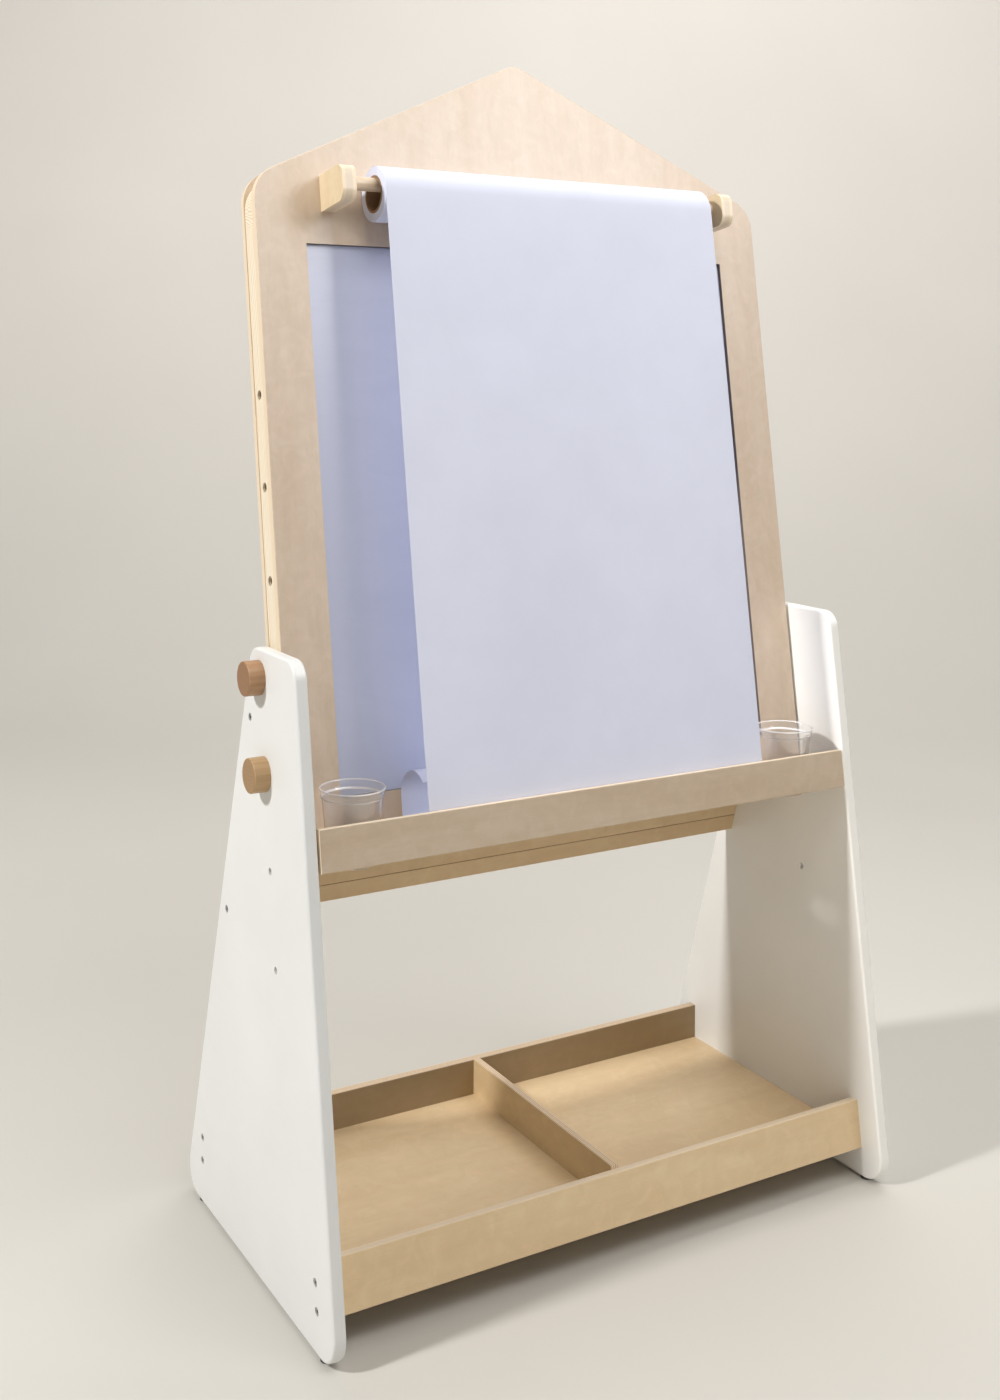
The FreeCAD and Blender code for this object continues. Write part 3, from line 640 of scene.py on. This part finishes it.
# the roll: wound layers that show as fine rings on its ends
roll_low, roll_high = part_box("paper_roll")
roll_half = (roll_high.x - roll_low.x) / 2
profile = []
core_r = 0.0215
layers = 13
groove = 0.00022  # half the gap between two layers
for end, sign in ((-roll_half, -1), (roll_half, 1)):
    radii = [core_r + (ROLL_R - core_r) * k / layers for k in range(layers + 1)]
    ring = []
    for k in range(layers):
        a, b = radii[k], radii[k + 1]
        depth = 0.00035 + 0.0003 * math.sin(2.4 * k + (1.0 if sign > 0 else 0.0))
        ring.append((a + 0.00005, end - sign * 0.0010))
        ring.append((a + groove, end - sign * depth))
        ring.append((b - groove, end - sign * depth))
    ring.append((ROLL_R, end - sign * 0.0009))
    profile += ring if sign < 0 else ring[::-1]
roll = add_piece(
    "paper_roll_wound",
    turned_mesh("paper_roll_wound", profile, ROLL_AXIS, "X"),
    paper,
    "roll",
)
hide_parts("paper_roll")

# cups: thin clear walls, a rolled rim, a stepped shoulder below it and a raised base
plastic = clear_plastic()
rim_plastic = plastic_rim()
for name in ("cup_left", "cup_right"):
    low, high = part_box(name)
    centre = Vector(((low.x + high.x) / 2, (low.y + high.y) / 2, 0))
    base, top = low.z, high.z
    neck = top - 0.010
    outline = [
        (0.0006, base + 0.0022), (0.0220, base + 0.0022), (0.0233, base + 0.0016), (0.0241, base + 0.0003),
        (0.0250, base), (0.0258, base + 0.0006), (0.0262, base + 0.0020),
        (0.0297, base + 0.0380), (0.0330, neck - 0.0016), (0.0334, neck - 0.0004), (0.0345, neck + 0.0004),
        (0.0347, neck + 0.0014), (0.0347, top - 0.0030), (0.0350, top - 0.0022), (0.0354, top - 0.0012),
        (0.0353, top - 0.0004), (0.0347, top), (0.0341, top - 0.0003), (0.0338, top - 0.0012),
        (0.0337, top - 0.0030), (0.0337, neck + 0.0022), (0.0333, neck + 0.0012), (0.0322, neck + 0.0004),
        (0.0318, neck - 0.0010), (0.0286, base + 0.0380), (0.0252, base + 0.0050),
        (0.0243, base + 0.0038), (0.0225, base + 0.0034), (0.0006, base + 0.0034),
    ]
    cup = add_piece(
        name + "_moulded",
        turned_mesh(name + "_moulded", outline, centre, "Z"),
        plastic,
        "left_cup" if name == "cup_left" else "right_cup",
    )
    cup.data.materials.append(rim_plastic)
    for polygon in cup.data.polygons:
        height = polygon.center.z
        if height > top - 0.0012 or abs(height - neck) < 0.0009:
            polygon.material_index = 1
    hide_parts(name)

# ---- floor, backdrop and light ----------------------------------------------------------------------------
def backdrop():
    """A floor that curves up into a wall, one sweep that turns paler with height: painted light, darker on the
    floor and paler up the wall.
    """
    t = Tree("studio_sweep")
    cloud = t.noise(t.coords.outputs["Object"], 0.7, 3.0)
    grain = t.noise(t.coords.outputs["Object"], 260.0, 2.0)
    floor = t.mix(t.spread(cloud, 0.35, 0.7), (0.635, 0.615, 0.57), (0.605, 0.585, 0.54))
    wall = t.mix(t.spread(cloud, 0.35, 0.7), (0.915, 0.88, 0.83), (0.87, 0.83, 0.78))
    # painted light: the colour goes from the darker floor to the paler wall over the first 1.6 m of height
    colour = t.mix(t.spread(t.along(Z), 0.0, 1.6), floor, wall)
    t.bump(grain, 0.0005, 0.1)
    material = t.finish(colour, 0.85, Specular_IOR_Level=0.2)
    bm = bmesh.new()
    profile = [(-6.0, 0.0), (0.0, 0.0), (2.2, 0.0)]
    bend_start, radius = 2.2, 1.6
    for i in range(1, 17):
        angle = math.radians(-90 + 90 * i / 16)
        profile.append((bend_start + radius * math.cos(angle), radius + radius * math.sin(angle)))
    profile.append((3.8, 6.0))
    turn = Matrix.Rotation(-CAM_YAW, 3, "Z")
    rows = []
    for y, z in profile:
        rows.append([bm.verts.new(turn @ Vector((x, y, z))) for x in (-8.0, 8.0)])
    for a, b in zip(rows, rows[1:]):
        bm.faces.new((a[0], a[1], b[1], b[0]))
    mesh = bpy.data.meshes.new("studio_sweep")
    bm.to_mesh(mesh)
    bm.free()
    sweep = bpy.data.objects.new("studio_sweep", mesh)
    scene.collection.objects.link(sweep)
    mesh.materials.append(material)
    for polygon in mesh.polygons:
        polygon.use_smooth = True


backdrop()


def aimed_light(name, kind, place, target, watts, colour):
    data = bpy.data.lights.new(name, kind)
    data.energy = watts
    data.color = colour
    light = bpy.data.objects.new(name, data)
    scene.collection.objects.link(light)
    light.location = place
    light.rotation_mode = "QUATERNION"
    light.rotation_quaternion = (Vector(target) - Vector(place)).to_track_quat("-Z", "Y")
    return light


def area_light(name, place, target, size, watts, colour):
    light = aimed_light(name, "AREA", place, target, watts, colour)
    light.data.shape = "RECTANGLE"
    light.data.size, light.data.size_y = size
    return light


def spot_light(name, place, target, cone, radius, watts, colour):
    """A soft-edged spot, with its cone's full angle in degrees."""
    light = aimed_light(name, "SPOT", place, target, watts, colour)
    light.data.spot_size = math.radians(cone)
    light.data.spot_blend = 0.6
    light.data.shadow_soft_size = radius
    return light


def light_only(light, pieces):
    """Makes a light fall on the named pieces only."""
    lit = bpy.data.collections.new("lit_by_" + light.name)
    for piece in pieces:
        lit.objects.link(bpy.data.objects[piece])
    light.light_linking.receiver_collection = lit


def through_paper(light):
    """Makes the hanging paper cast no shadow in a light."""
    clear = bpy.data.collections.new("clear_to_" + light.name)
    clear.objects.link(bpy.data.objects["paper_hanging"])
    light.light_linking.blocker_collection = clear
    clear.collection_objects[0].light_linking.link_state = "EXCLUDE"


def spot_light(name, place, target, cone, radius, watts, colour):
    """A soft-edged spot, with its cone's full angle in degrees."""
    data = bpy.data.lights.new(name, "SPOT")
    data.spot_size = math.radians(cone)
    data.spot_blend = 0.6
    data.shadow_soft_size = radius
    data.energy = watts
    data.color = colour
    light = bpy.data.objects.new(name, data)
    scene.collection.objects.link(light)
    light.location = place
    light.rotation_mode = "QUATERNION"
    light.rotation_quaternion = (Vector(target) - Vector(place)).to_track_quat("-Z", "Y")
    return light


DAYLIGHT = (1.0, 0.985, 0.965)
BOUNCE_WARM = (1.0, 0.84, 0.62)
BOUNCE_PALE = (1.0, 0.95, 0.93)
GLOSS_WHITE = (1.0, 0.975, 0.99)
KEY_PLACE = (-3.7, 0.14, 3.25)

# the lights of the whole scene: name, place, target, size, watts, colour
area_light("key", KEY_PLACE, (0.0, 0.0, 0.6), (0.4, 0.4), 148.0, DAYLIGHT)
area_light("front_right", (1.1, -1.55, 2.2), (0.0, 0.0, 1.05), (0.7, 0.7), 9.0, DAYLIGHT)
upper_front = area_light("upper_front", (0.0, -1.25, 2.6), (0.0, 0.0, 1.1), (1.2, 0.9), 18.0, DAYLIGHT)
low_front = area_light("low_front", (1.5, -3.6, 2.0), (0.0, 0.0, 0.7), (3.0, 3.0), 9.5, DAYLIGHT)
area_light("overhead", (1.7, 1.0, 3.8), (1.0, 0.5, 0.0), (3.0, 3.0), 66.0, DAYLIGHT)

# the lights of single pieces
wood_glow = area_light(
    "wood_glow", (-0.1, -1.1, 0.35), (0.37, 0.0, 0.33), (0.5, 0.5), 2.3, BOUNCE_WARM
)
light_only(wood_glow, ("right_side_panel",))
panel_top = spot_light("panel_top", KEY_PLACE, (0.36, -0.06, 0.62), 5.0, 0.2, 430.0, DAYLIGHT)
light_only(panel_top, ("right_side_panel", "cup_right_moulded"))
shelf_glow = area_light(
    "shelf_glow", (0.1, -1.3, 0.75), (0.0, -0.15, 0.05), (0.7, 0.4), 2.6, BOUNCE_PALE
)
light_only(shelf_glow, ("shelf_floor", "shelf_divider"))

# reflections only
gloss = area_light("gloss", (1.3, -1.9, 2.35), (0.0, 0.0, 1.2), (0.9, 0.9), 56.0, GLOSS_WHITE)
gloss.visible_diffuse = False

for light in (upper_front, low_front, panel_top):
    through_paper(light)

world = bpy.data.worlds.new("studio")
scene.world = world
world.use_nodes = True
world.node_tree.nodes["Background"].inputs["Color"].default_value = (1.0, 0.98, 0.95, 1.0)
world.node_tree.nodes["Background"].inputs["Strength"].default_value = 0.24
scene.view_settings.view_transform = "Standard"
scene.view_settings.look = "None"
